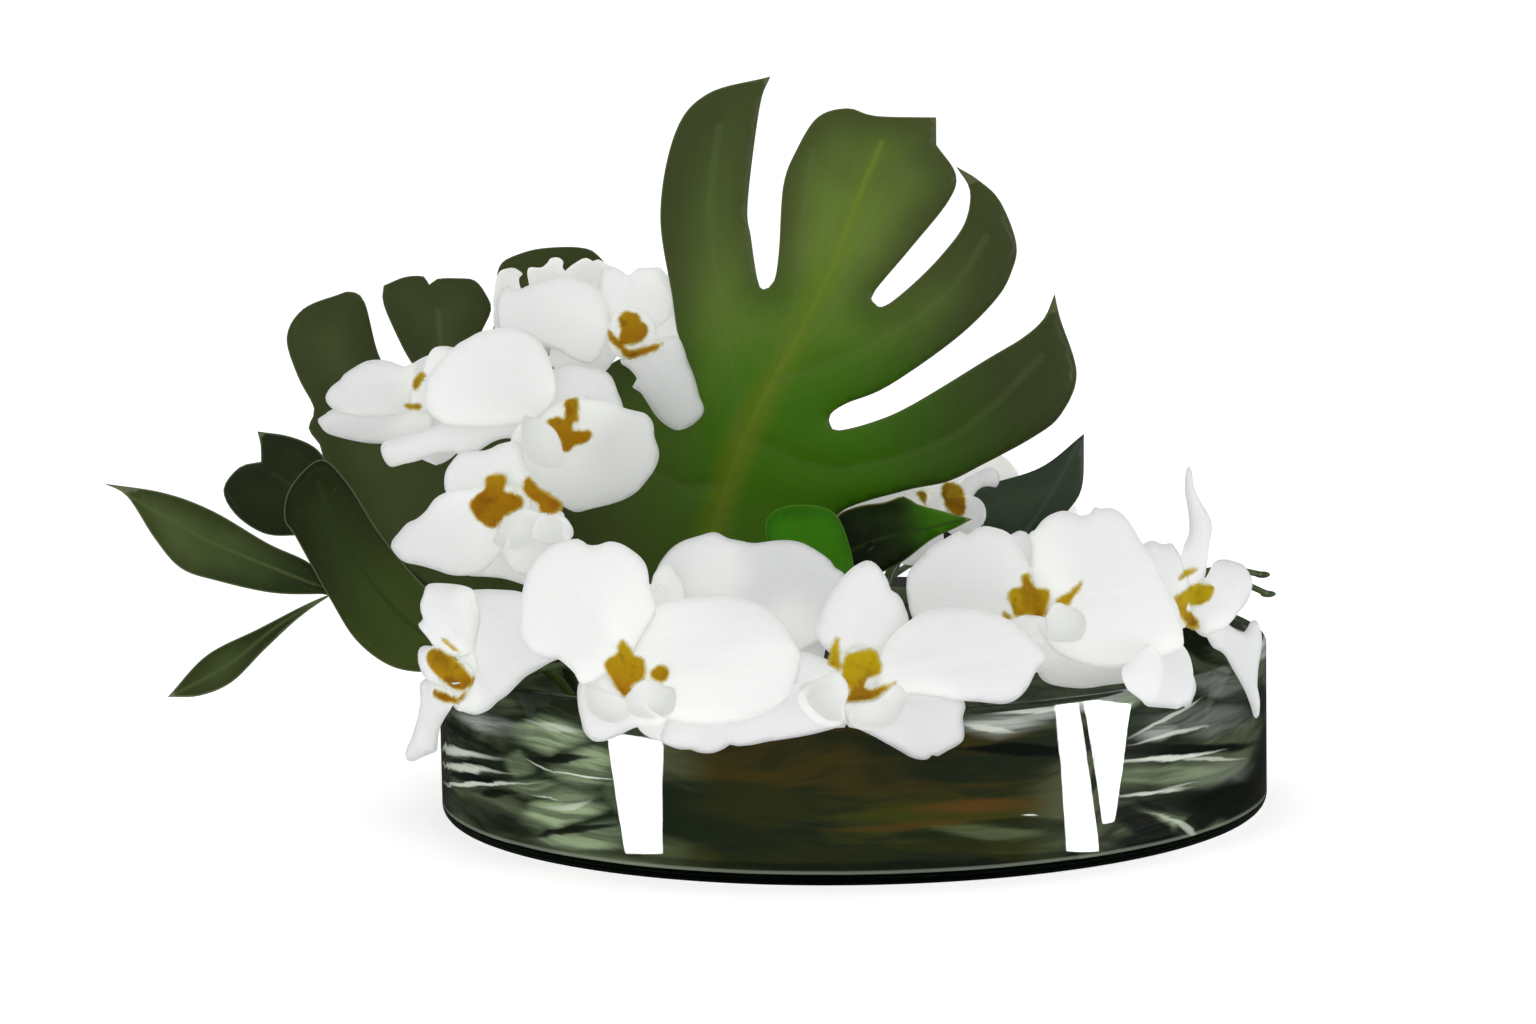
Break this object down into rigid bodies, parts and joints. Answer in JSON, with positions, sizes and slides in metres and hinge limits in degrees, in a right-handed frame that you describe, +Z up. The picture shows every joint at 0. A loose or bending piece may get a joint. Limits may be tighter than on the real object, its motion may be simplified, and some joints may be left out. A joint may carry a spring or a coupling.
{
  "type": "flower arrangement in bowl",
  "caption": "White orchid blooms with golden lips and broad dark leaves standing in a low round clear glass bowl lined with leaves.",
  "frame": {"origin": "centre of the bowl's flat foot, on the table", "axes": "+Z up along the bowl's axis, +X to the right and the longest side, -Y towards the camera of the picture"},
  "size_m": [0.415, 0.3245, 0.263],
  "materials": {
    "glass": "clear, polished",
    "foam": "matte wet floral foam",
    "leaf_dark": "satin living leaf",
    "leaf_green": "glossy living leaf",
    "leaf_bright": "satin living leaf",
    "stem": "satin green stem",
    "petal_white": "soft matte petal",
    "lip_gold": "waxy petal"
  },
  "bodies": {
    "root": {"bowl": "glass", "foam": "foam", "lining_front": "leaf_dark", "lining_right": "leaf_dark", "lining_back": "leaf_dark", "leaf_hero": "leaf_green", "leaf_rear_left": "leaf_dark", "leaf_loop": "leaf_dark", "leaf_side": "leaf_dark", "leaf_small": "leaf_dark", "leaf_bright": "leaf_bright", "leaf_rear_right": "leaf_dark", "leaf_sprig": "leaf_dark", "stem_upper_left": "stem", "stem_front_left": "stem", "stem_right": "stem", "stem_back": "stem", "bloom_a_petals": "petal_white", "bloom_b_petals": "petal_white", "bloom_c_petals": "petal_white", "bloom_d_petals": "petal_white", "bloom_e_petals": "petal_white", "bloom_f_petals": "petal_white", "bloom_g_petals": "petal_white", "bloom_h_petals": "petal_white", "bloom_i_petals": "petal_white", "bloom_j_petals": "petal_white", "bloom_k_petals": "petal_white", "bloom_l_petals": "petal_white", "bloom_m_petals": "petal_white", "bloom_n_petals": "petal_white", "bloom_o_petals": "petal_white", "bloom_a_lip": "lip_gold", "bloom_b_lip": "lip_gold", "bloom_c_lip": "lip_gold", "bloom_d_lip": "lip_gold", "bloom_e_lip": "lip_gold", "bloom_f_lip": "lip_gold", "bloom_g_lip": "lip_gold", "bloom_h_lip": "lip_gold", "bloom_i_lip": "lip_gold", "bloom_j_lip": "lip_gold", "bloom_k_lip": "lip_gold", "bloom_l_lip": "lip_gold", "bloom_m_lip": "lip_gold", "bloom_n_lip": "lip_gold", "bloom_o_lip": "lip_gold"}
  },
  "joints": []
}
